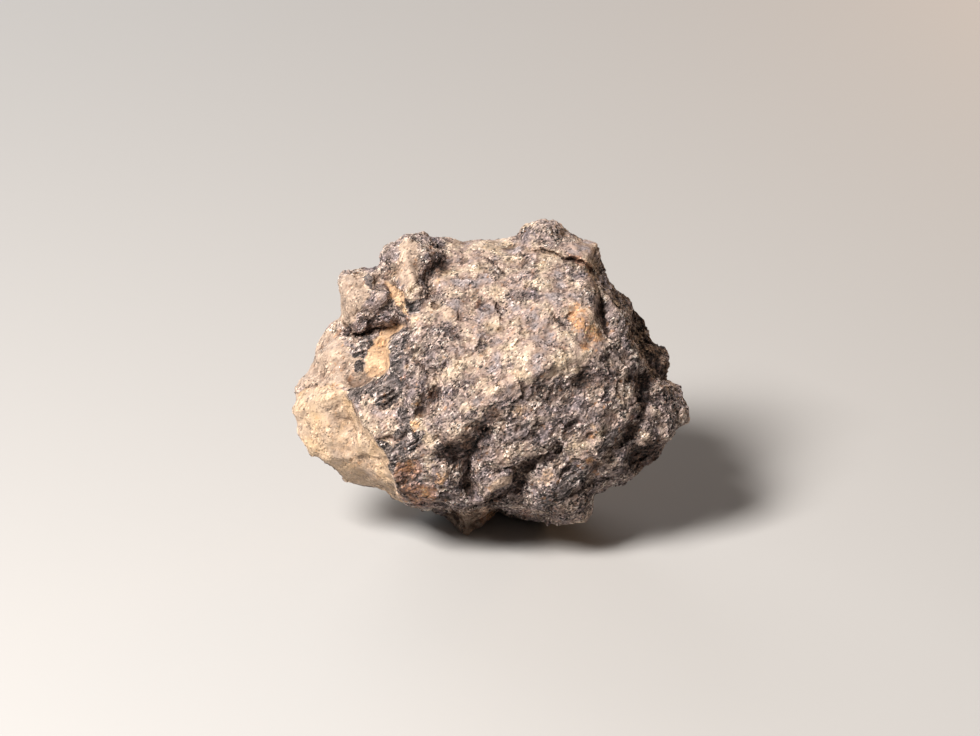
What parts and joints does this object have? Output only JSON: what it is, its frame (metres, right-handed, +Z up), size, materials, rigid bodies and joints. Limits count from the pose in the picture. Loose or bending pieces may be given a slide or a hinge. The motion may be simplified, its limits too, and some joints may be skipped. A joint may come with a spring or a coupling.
{
  "type": "chondrite meteorite",
  "caption": "Broken, weathered stony meteorite with two knobs, a tan broken face and a small flat foot that it stands on.",
  "frame": {"origin": "on the ground, under the middle of the stone's bounding box", "axes": "+X along the stone's width, its longest extent, to the right of someone facing its front; +Y away from them, along its depth, its shortest extent; +Z up from the ground it stands on"},
  "size_m": [0.065, 0.0432, 0.0501],
  "materials": {
    "stone": "matte"
  },
  "bodies": {
    "root": {"meteorite": "stone"}
  },
  "joints": []
}
